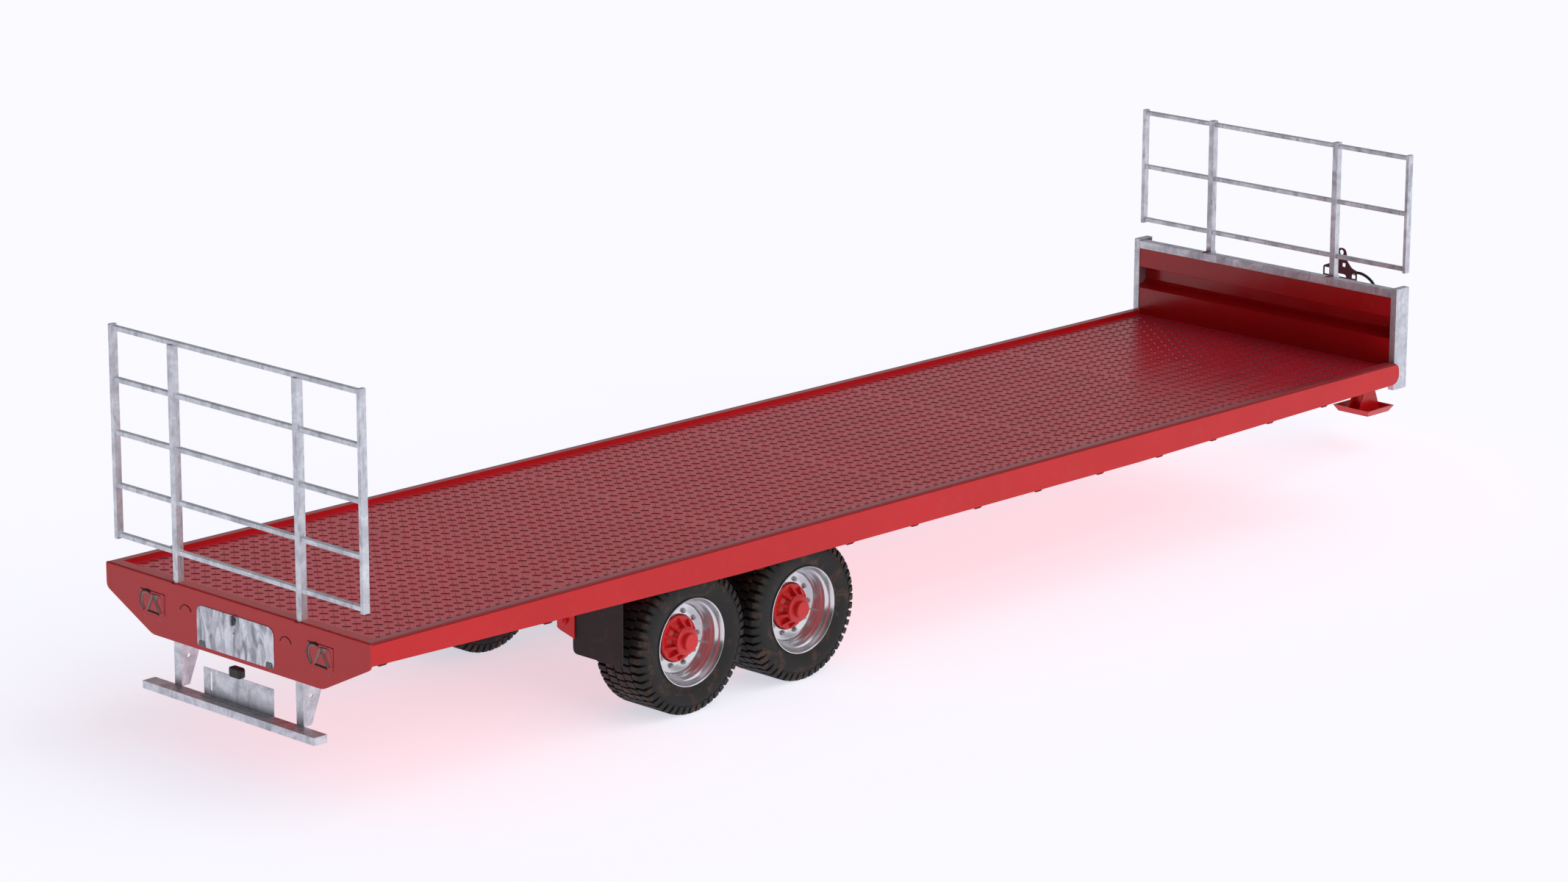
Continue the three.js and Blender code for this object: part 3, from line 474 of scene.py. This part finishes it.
# Bed --------------------------------------------------------------------------------------------
def tread_bars():
    """Tread plate: short raised bars at 45 degrees, crossed in turn, on every deck sheet."""
    pitch_x, pitch_y, length, width, height = 0.078, 0.099, 0.06, 0.0135, 0.0048
    shape = [
        (-0.5, 0, 0), (-0.44, 0.42, 0), (0, 0.5, 0), (0.44, 0.42, 0), (0.5, 0, 0), (0.44, -0.42, 0),
        (0, -0.5, 0), (-0.44, -0.42, 0)
    ]
    ridge = [(-0.42, 0, 0.9), (0, 0, 1), (0.42, 0, 0.9)]
    faces = [
        (0, 8, 1), (1, 8, 9, 2), (2, 9, 10, 3), (3, 10, 4), (4, 10, 5), (5, 10, 9, 6), (6, 9, 8, 7),
        (7, 8, 0), (7, 6, 5, 4, 3, 2, 1, 0),
    ]
    for number in DECK_SHEETS:
        low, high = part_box(f"deck_sheet_{number}")
        vertices, polygons = [], []
        for row in range(-24, 25):
            for column in range(48):
                across = row * pitch_y / 2
                along = low.x + 0.03 + column * pitch_x / 2
                if (row + column) % 2 or abs(across) > high.y - 0.024 or along > high.x - 0.024:
                    continue
                turn = math.radians(45 if row % 2 else -45)
                base = len(vertices)
                for a, b, up in shape + ridge:
                    a, b = a * length, b * width
                    x = along + a * math.cos(turn) - b * math.sin(turn)
                    y = across + a * math.sin(turn) + b * math.cos(turn)
                    vertices.append((x, y, high.z - 0.0004 + up * height))
                polygons += [tuple(base + i for i in face) for face in faces]
        data = bpy.data.meshes.new(f"tread_{number}")
        data.from_pydata(vertices, [], polygons)
        tread = bpy.data.objects.new(f"tread_{number}", data)
        bpy.context.scene.collection.objects.link(tread)
        # The bars take tread paint, with painted shade on their flanks that face the rear right.
        data.materials.append(MATERIALS["tread_paint"])
        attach(tread, "trailer")


def rail_bottom(x):
    """Height of the side rail's lower edge, which tapers up towards both ends."""
    points = ((-5.59, 0.915), (-2.6, 0.855), (1.2, 0.855), (4.034, 0.9))
    for (x0, z0), (x1, z1) in zip(points, points[1:]):
        if x <= x1:
            return z0 + (z1 - z0) * (x - x0) / (x1 - x0)
    return points[-1][1]


def rope_hooks():
    """Bent rod hooks welded inside the lower edge of each side rail."""
    for name, side in SIDES:
        mesh = bmesh.new()
        for x in (-5.5, -4.2, -2.4, -1.6, -1.0, -0.4, 0.19, 0.81, 1.42, 1.99, 2.6, 3.2):
            edge, y = rail_bottom(x), side * 1.2035
            loop = [
                (-0.04, 0.03), (-0.04, 0.006), (-0.034, -0.004), (-0.024, -0.009), (0.024, -0.009),
                (0.034, -0.004), (0.04, 0.006), (0.04, 0.03)
            ]
            add_tube(mesh, [Vector((x + dx, y, edge + dz)) for dx, dz in loop], 0.006, 8)
        # The hooks take the dark red of painted shade, for the shade under the rail.
        piece(f"rope_hooks_{name}", mesh, "shadow_red_paint", "trailer", smooth=True)


def deck_ribs():
    """Light channels across the main beams halfway along each sheet."""
    mesh, reach = bmesh.new(), 1.2115
    for number in DECK_SHEETS:
        low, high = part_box(f"deck_sheet_{number}")
        x, top = (low.x + high.x) / 2, low.z - 0.0004
        add_box(mesh, (x - 0.025, -reach, top - 0.005), (x + 0.025, reach, top))
        for edge in (-0.025, 0.02):
            add_box(mesh, (x + edge, -reach, top - 0.0635), (x + edge + 0.005, reach, top - 0.005))
    piece("deck_ribs", mesh, "red_paint", "trailer")


def beam_details():
    """Rear face of the beam: the lamps' ridges as strokes of painted highlight and painted shade, dark arcs
    of painted shadow at the round recesses, and screws.
    """
    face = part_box("rear_beam")[0].x
    marks, shadow_arcs = bmesh.new(), bmesh.new()
    for name, side in SIDES:
        low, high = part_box(f"rear_lamp_{name}")
        middle = Vector((low.x, (low.y + high.y) / 2, (low.z + high.z) / 2))

        def line(points, radius, mesh, depth=0.001):
            add_tube(mesh, [middle + Vector((depth, a, b)) for a, b in points], radius, 8)

        # The lamp's ridges are drawn as strokes: pale strokes that are a painted highlight on their lit
        # sides, and dark strokes that are painted shade on the recess walls beside them.
        highlight_strokes, shade_strokes = bmesh.new(), bmesh.new()
        triangle = [(0.04, -0.05), (-0.009, 0.05), (-0.08, -0.053)]
        line(
            [
                (0.015, 0.052), (0.048, 0.058), (0.082, 0.05), (0.096, 0.024), (0.1, -0.007),
                (0.09, -0.036), (0.074, -0.052)
            ],
            0.0075, highlight_strokes
        )
        line(
            [
                (0.015, 0.058), (0.05, 0.064), (0.09, 0.057), (0.106, 0.026), (0.11, -0.008),
                (0.099, -0.042), (0.078, -0.06)
            ],
            0.0105, shade_strokes, 0.004
        )
        line(triangle[:2], 0.0095, highlight_strokes)
        line(triangle[1:], 0.008, highlight_strokes)
        line([(0.044, -0.06), (-0.058, -0.064)], 0.008, shade_strokes, 0.001)
        line([(-0.001, 0.046), (-0.07, -0.055)], 0.0065, shade_strokes, 0.001)
        line(
            [(-0.009, 0.055), (-0.075, 0.057), (-0.098, 0.025), (-0.111, -0.045), (-0.08, -0.056)], 0.004,
            shade_strokes, 0.003
        )
        # A pale flat patch at the top of the lamp, also painted highlight.
        add_prism(
            highlight_strokes,
            [
                (middle.y - 0.009, middle.z + 0.052), (middle.y - 0.068, middle.z + 0.056),
                (middle.y - 0.05, middle.z + 0.024), (middle.y - 0.03, middle.z + 0.024)
            ],
            low.x - 0.003, low.x + 0.004, 0
        )
        piece(f"lamp_painted_highlight_{name}", highlight_strokes, "lamp_painted_highlight", "trailer", smooth=True)
        piece(f"lamp_painted_shade_{name}", shade_strokes, "lamp_painted_shade", "trailer", smooth=True)
        for offset in (-0.07, 0.07):
            add_bolt(marks, (face, middle.y + offset, low.z - 0.03), (-1, 0, 0), 0.008, 0.003, washer=False)
        # Painted shadow: a thin dark arc stands for the shadow line along the top of each round recess in
        # the beam.
        turns = [math.radians(angle) for angle in range(15, 166, 10)]
        centre = Vector((face, side * 0.462, 0.888))
        add_tube(
            shadow_arcs, [centre + Vector((-0.0005, 0.052 * math.cos(t), 0.046 * math.sin(t))) for t in turns],
            0.0032, 8
        )
    piece("beam_shadow_arcs", shadow_arcs, "shadow_red_paint", "trailer", smooth=True)
    piece("beam_screws", marks, "bolt_zinc", "trailer")


def add_frame(mesh, outer, inner, low, high, axis):
    """Adds a closed ring between two outlines with the same number of points."""
    def at(point, depth):
        values = list(point)
        values.insert(axis, depth)
        return mesh.verts.new(Vector(values))

    rings = [
        [at(p, low) for p in outer], [at(p, high) for p in outer], [at(p, high) for p in inner],
        [at(p, low) for p in inner]
    ]
    for first, second in zip(rings, rings[1:] + rings[:1]):
        for i in range(len(outer)):
            j = (i + 1) % len(outer)
            mesh.faces.new((first[i], first[j], second[j], second[i]))


def door_details():
    """Two lugs at the tail door's lower corners and the screw of its latch."""
    low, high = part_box("tail_door")
    lugs, bolts = bmesh.new(), bmesh.new()
    for side in (-1, 1):
        y = side * (high.y - 0.045)
        add_prism(
            lugs,
            [
                (y - 0.03, low.z + 0.001), (y + 0.03, low.z + 0.001), (y + 0.022, low.z + 0.036),
                (y - 0.022, low.z + 0.036)
            ],
            low.x - 0.0035, low.x - 0.0003, 0
        )
    piece("door_lugs", lugs, "bare_steel", "tail_door", bevel=0.001)
    add_bolt(bolts, (low.x, 0.01, high.z - 0.11), (-1, 0, 0), 0.01, 0.004, washer=False)
    piece("door_screw", bolts, "bolt_zinc", "tail_door")


# Wheels and bogie -------------------------------------------------------------------------------
AXLE_HEIGHT = 0.461
WHEEL_Y = 0.955
SPRING_Y = 0.555
TREAD_TOP = 0.4608
TREAD_BASE = 0.43
TREAD_MIDDLE = -0.03
LUGS = 50


def add_arc_block(mesh, centre, side, section, start, end):
    """A block with a section of (radius, place along the axle), carried round the wheel's axis."""
    rings = []
    for angle in (start, start + (end - start) / 2, end):
        ring = [
            mesh.verts.new(
                (centre[0] + r * math.cos(angle), centre[1] + side * s, centre[2] + r * math.sin(angle))
            )
            for r, s in section
        ]
        rings.append(ring)
    for first, second in zip(rings, rings[1:]):
        for i in range(len(section)):
            j = (i + 1) % len(section)
            mesh.faces.new((first[i], first[j], second[j], second[i]))
    mesh.faces.new(rings[0])
    mesh.faces.new(rings[-1])


def tyre(name, centre, side, body, start):
    """A hollow tyre with five rows of tread blocks; start is the angle of its first block."""
    mesh = bmesh.new()
    half = [
        (0.275, 0.150), (0.283, 0.158), (0.294, 0.160), (0.308, 0.168), (0.339, 0.1765), (0.37, 0.1795),
        (0.396, 0.1775), (0.41, 0.171), (0.423, 0.162), (0.432, 0.147), (0.437, 0.115), (0.4385, 0.05),
    ]
    outside = half + [(r, -s - 0.06) for r, s in reversed(half)]
    inside = [(0.287, -0.188), (0.418, -0.198), (0.418, 0.138), (0.287, 0.128)]
    add_turned(mesh, outside + inside, 96, centre, Vector((0, side, 0)), closed=True)
    pitch = 2 * math.pi / LUGS
    for lug in range(LUGS):
        angle = start + lug * pitch
        for edge in (1, -1):
            shoulder = [
                (0.424, 0.116), (TREAD_TOP, 0.116), (TREAD_TOP, 0.179), (0.457, 0.187), (0.432, 0.2015),
                (0.404, 0.2085), (0.4, 0.2), (0.416, 0.18)
            ]
            add_arc_block(
                mesh, centre, side, [(r, TREAD_MIDDLE + edge * s) for r, s in shoulder], angle,
                angle + 0.64 * pitch
            )
            block = [
                (TREAD_BASE, TREAD_MIDDLE + edge * 0.04), (TREAD_TOP, TREAD_MIDDLE + edge * 0.04),
                (TREAD_TOP, TREAD_MIDDLE + edge * 0.107), (TREAD_BASE, TREAD_MIDDLE + edge * 0.107)
            ]
            add_arc_block(mesh, centre, side, block, angle + 0.2 * pitch, angle + 0.95 * pitch)
        block = [(TREAD_BASE, -0.062), (TREAD_TOP, -0.062), (TREAD_TOP, 0.002), (TREAD_BASE, 0.002)]
        add_arc_block(mesh, centre, side, block, angle + 0.4 * pitch, angle + 1.16 * pitch)
    piece(f"tread_tyre_{name}", mesh, "tyre", body, replaces=(f"tyre_{name}",), smooth=True)


def rim(name, centre, side, body):
    """A stepped steel rim with its valve stem and ten wheel nuts."""
    mesh = bmesh.new()
    profile = [
        (0.281, 0.1595), (0.281, 0.1655), (0.2765, 0.1668), (0.2722, 0.1625), (0.2695, 0.1515),
        (0.267, 0.1485), (0.2645, 0.1375), (0.2595, 0.1225), (0.251, 0.116), (0.2475, 0.111),
        (0.2465, 0.098), (0.241, 0.088), (0.2385, 0.082), (0.2375, 0.066), (0.233, 0.058), (0.231, 0.05),
        (0.2265, 0.036), (0.219, 0.0275), (0.206, 0.0255), (0.178, 0.029), (0.1545, 0.032),
        (0.1525, 0.031), (0.1525, 0.0185), (0.228, -0.004), (0.249, -0.06), (0.2595, -0.2185),
        (0.2735, -0.22), (0.2735, 0.145), (0.2765, 0.156),
    ]
    add_turned(mesh, profile, 96, centre, Vector((0, side, 0)), closed=True)
    place = Vector(centre)
    stem = [
        place + Vector((0.19, side * 0.024, -0.06)), place + Vector((0.194, side * 0.045, -0.061)),
        place + Vector((0.202, side * 0.068, -0.063))
    ]
    add_tube(mesh, stem, 0.0045, 8)
    piece(f"bright_rim_{name}", mesh, "wheel_silver", body, replaces=(f"rim_{name}",), smooth=True)
    nuts = bmesh.new()
    for k in range(10):
        angle = 2 * math.pi * k / 10
        add_bolt(
            nuts, place + Vector((0.174 * math.cos(angle), side * 0.029, 0.174 * math.sin(angle))),
            (0, side, 0), 0.026, 0.017
        )
    piece(f"wheel_nuts_{name}", nuts, "nut_steel", body, bevel=0.0008)


def hub(name, centre, side, body):
    """A cast hub and brake drum with ten ribs round its cap."""
    mesh = bmesh.new()
    outward = Vector((0, side, 0))
    profile = [
        (0, 0.167), (0.05, 0.167), (0.0545, 0.163), (0.0555, 0.131), (0.08, 0.1295), (0.0885, 0.125),
        (0.0905, 0.112), (0.083, 0.105), (0.08, 0.1), (0.085, 0.07), (0.104, 0.0555), (0.12, 0.0545),
        (0.143, 0.0545), (0.1465, 0.05), (0.1465, -0.03), (0.2, -0.045), (0.2045, -0.052),
        (0.2045, -0.188), (0.2, -0.1895), (0.046, -0.1895), (0.046, 0.079), (0, 0.079),
    ]
    add_turned(mesh, profile, 64, centre, outward)
    for k in range(10):
        angle = 2 * math.pi * (k + 0.5) / 10
        turn = Quaternion(Vector((0, 1, 0)), angle)
        rib = [(0.08, 0.124), (0.09, 0.114), (0.132, 0.064), (0.14, 0.053), (0.095, 0.053), (0.08, 0.09)]
        vertices = [
            [mesh.verts.new(Vector(centre) + turn @ Vector((r, side * s, w))) for r, s in rib]
            for w in (-0.009, 0.009)
        ]
        mesh.faces.new(vertices[0])
        mesh.faces.new(vertices[1])
        for i in range(len(rib)):
            j = (i + 1) % len(rib)
            mesh.faces.new((vertices[0][i], vertices[0][j], vertices[1][j], vertices[1][i]))
    piece(f"cast_hub_{name}", mesh, "hub_paint", body, replaces=(f"hub_{name}",), bevel=0.001, smooth=True)


def wheels():
    """Tyre, rim and hub of each wheel, on the wheel's own body."""
    for end in ENDS:
        for name, side in SIDES:
            low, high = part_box(f"tyre_{end}_{name}")
            centre = ((low.x + high.x) / 2, side * WHEEL_Y, AXLE_HEIGHT)
            label, body = f"{end}_{name}", f"wheel_{end}_{name}"
            tyre(label, centre, side, body, random.random())
            rim(label, centre, side, body)
            hub(label, centre, side, body)


def bogie_details():
    """U-bolts over the springs, and an air brake chamber with its lever at each wheel."""
    bolts, brakes = bmesh.new(), bmesh.new()
    for end in ENDS:
        axle_low, axle_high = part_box(f"axle_{end}")
        x, z = (axle_low.x + axle_high.x) / 2, AXLE_HEIGHT
        for name, side in SIDES:
            for dx in (-0.045, 0.045):
                top, reach = z + 0.165, 0.041
                for dy in (-reach, reach):
                    y = side * SPRING_Y + dy
                    add_tube(bolts, [Vector((x + dx, y, z - 0.075)), Vector((x + dx, y, top))], 0.0075, 8)
                    add_bolt(bolts, (x + dx, y, z - 0.058), (0, 0, -1), 0.024, 0.012)
                add_tube(
                    bolts,
                    [
                        Vector((x + dx, side * SPRING_Y - reach, top)),
                        Vector((x + dx, side * SPRING_Y + reach, top))
                    ],
                    0.0075, 8
                )
            add_box(
                bolts, (x - 0.06, side * SPRING_Y - 0.055, z - 0.058),
                (x + 0.06, side * SPRING_Y + 0.055, z - 0.0505)
            )
            place = Vector((x - 0.19, side * 0.42, z + 0.02))
            add_turned(
                brakes,
                [
                    (0, 0), (0.05, 0), (0.066, 0.012), (0.068, 0.03), (0.074, 0.032), (0.074, 0.044),
                    (0.068, 0.046), (0.066, 0.07), (0.045, 0.09), (0, 0.092)
                ],
                28, place, Vector((0, 0, 1)),
            )
            add_box(brakes, place + Vector((0.0, -0.012, -0.03)), place + Vector((0.14, 0.012, -0.012)))
    piece("spring_bolts", bolts, "bolt_zinc", "bogie", smooth=True)
    piece("brake_chambers", brakes, "red_paint", "bogie", smooth=True)


def mudflap_details():
    """The bar and bolts that hold each mudflap, and a red stay with its boss beside it."""
    for name, side in SIDES:
        low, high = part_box(f"mudflap_{name}")
        mesh, bolts = bmesh.new(), bmesh.new()
        add_box(
            mesh, (low.x - 0.006, min(side * 0.615, side * 1.065), high.z - 0.05),
            (low.x - 0.0005, max(side * 0.615, side * 1.065), high.z + 0.012)
        )
        add_prism(
            mesh,
            [
                (low.x - 0.006, high.z - 0.02), (low.x - 0.006, high.z + 0.03),
                (low.x - 0.07, high.z + 0.03)
            ],
            side * 1.03, side * 1.036, 1
        )
        piece(f"flap_bar_{name}", mesh, "red_paint", "trailer", bevel=0.001)
        for k in range(4):
            add_bolt(
                bolts, (low.x - 0.006, side * (0.66 + 0.12 * k), high.z - 0.025), (-1, 0, 0), 0.013, 0.006
            )
        piece(f"flap_bolts_{name}", bolts, "bolt_zinc", "trailer")
        stay, boss = bmesh.new(), bmesh.new()
        shape = [
            (side * 0.49, 0.6995), (side * 0.49, 0.545), (side * 0.515, 0.532), (side * 0.645, 0.5),
            (side * 0.645, 0.6995)
        ]
        add_prism(stay, shape, low.x - 0.012, low.x - 0.0035, 0)
        add_turned(
            boss, [(0, 0), (0.034, 0), (0.034, 0.012), (0.024, 0.016), (0.024, 0.028), (0, 0.028)], 20,
            (low.x - 0.012, side * 0.55, 0.605), Vector((-1, 0, 0))
        )
        piece(f"flap_stay_{name}", stay, "red_paint", "trailer", bevel=0.001)
        piece(f"flap_boss_{name}", boss, "red_paint", "trailer", smooth=True)


# Drawbar ----------------------------------------------------------------------------------------
def drawbar_details():
    """Bolts of the towing eye, and the jack's cap and collars."""
    bolts = bmesh.new()
    low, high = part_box("towing_eye")
    for y in (-0.06, 0.06):
        for z in (low.z + 0.022, high.z - 0.022):
            add_bolt(bolts, (low.x + 0.022, y, z), (1, 0, 0), 0.019, 0.012)
    piece("eye_bolts", bolts, "bolt_zinc", "trailer", bevel=0.0006)

    tube_low, tube_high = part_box("jack_tube")
    cap, middle = bmesh.new(), (tube_low.x + tube_high.x) / 2
    add_box(
        cap, (tube_low.x + 0.003, tube_low.y + 0.003, tube_high.z - 0.001),
        (tube_high.x - 0.003, tube_high.y - 0.003, tube_high.z + 0.004)
    )
    add_turned(
        cap, [(0, 0), (0.022, 0), (0.022, 0.018), (0.014, 0.02), (0.014, 0.034), (0, 0.034)], 20,
        (middle, 0, tube_high.z + 0.003), Vector((0, 0, 1))
    )
    piece("jack_cap", cap, "red_paint", "trailer", bevel=0.001)
    collar = bmesh.new()
    outer = [
        (tube_low.x - 0.006, tube_low.y - 0.006), (tube_high.x + 0.006, tube_low.y - 0.006),
        (tube_high.x + 0.006, tube_high.y + 0.006), (tube_low.x - 0.006, tube_high.y + 0.006)
    ]
    inner = [
        (tube_low.x + 0.001, tube_low.y + 0.001), (tube_high.x - 0.001, tube_low.y + 0.001),
        (tube_high.x - 0.001, tube_high.y - 0.001), (tube_low.x + 0.001, tube_high.y - 0.001)
    ]
    for z in (tube_low.z + 0.002, tube_high.z - 0.06):
        add_frame(collar, outer, inner, z, z + 0.03, 2)
    piece("jack_collars", collar, "red_paint", "trailer", bevel=0.0015)


def hydraulic_hose():
    """The hose from the stand's ear, over and down to the fitting on the drawbar, with its swaged end at
    the stand.
    """
    route = (
        (4.9155, -0.075, 1.384), (4.9155, -0.115, 1.39), (4.915, -0.165, 1.394), (4.913, -0.222, 1.382),
        (4.909, -0.28, 1.352), (4.901, -0.328, 1.303), (4.888, -0.36, 1.238), (4.866, -0.378, 1.162),
        (4.832, -0.385, 1.08), (4.782, -0.382, 0.998), (4.718, -0.372, 0.925), (4.645, -0.355, 0.865),
        (4.565, -0.333, 0.82), (4.48, -0.308, 0.785), (4.405, -0.283, 0.755), (4.358, -0.269, 0.726),
        (4.342, -0.2645, 0.7), (4.34, -0.264, 0.685), (4.34, -0.264, 0.668),
    )
    points = [Vector(p) for p in route]
    smooth_points = []
    for i in range(len(points) - 1):
        before, here, ahead, after = points[max(i - 1, 0)], points[i], points[i + 1], points[
            min(i + 2, len(points) - 1)
        ]
        for k in range(6):
            t = k / 6
            smooth_points.append(
                0.5 * (
                    2 * here + (ahead - before) * t + (
                        2 * before - 5 * here + 4 * ahead - after
                    ) * t * t + (3 * here - before - 3 * ahead + after) * t ** 3
                )
            )
    smooth_points.append(points[-1])
    mesh = bmesh.new()
    add_tube(mesh, smooth_points, 0.0108, 16)
    piece("hydraulic_hose", mesh, "hose_rubber", "trailer", replaces=("hose",), smooth=True)
    ends = bmesh.new()
    add_turned(
        ends, [(0.0122, 0), (0.0122, 0.035), (0.0142, 0.036), (0.0142, 0.052), (0.011, 0.053)], 16,
        points[0] + Vector((0, 0.002, 0)), Vector((0, -1, 0))
    )
    piece("hose_ferrule", ends, "bolt_zinc", "trailer", smooth=True)


random.seed(7)
add_camera()
add_studio()
dress_frame()
tread_bars()
rope_hooks()
deck_ribs()
beam_details()
door_details()
wheels()
bogie_details()
mudflap_details()
drawbar_details()
hydraulic_hose()
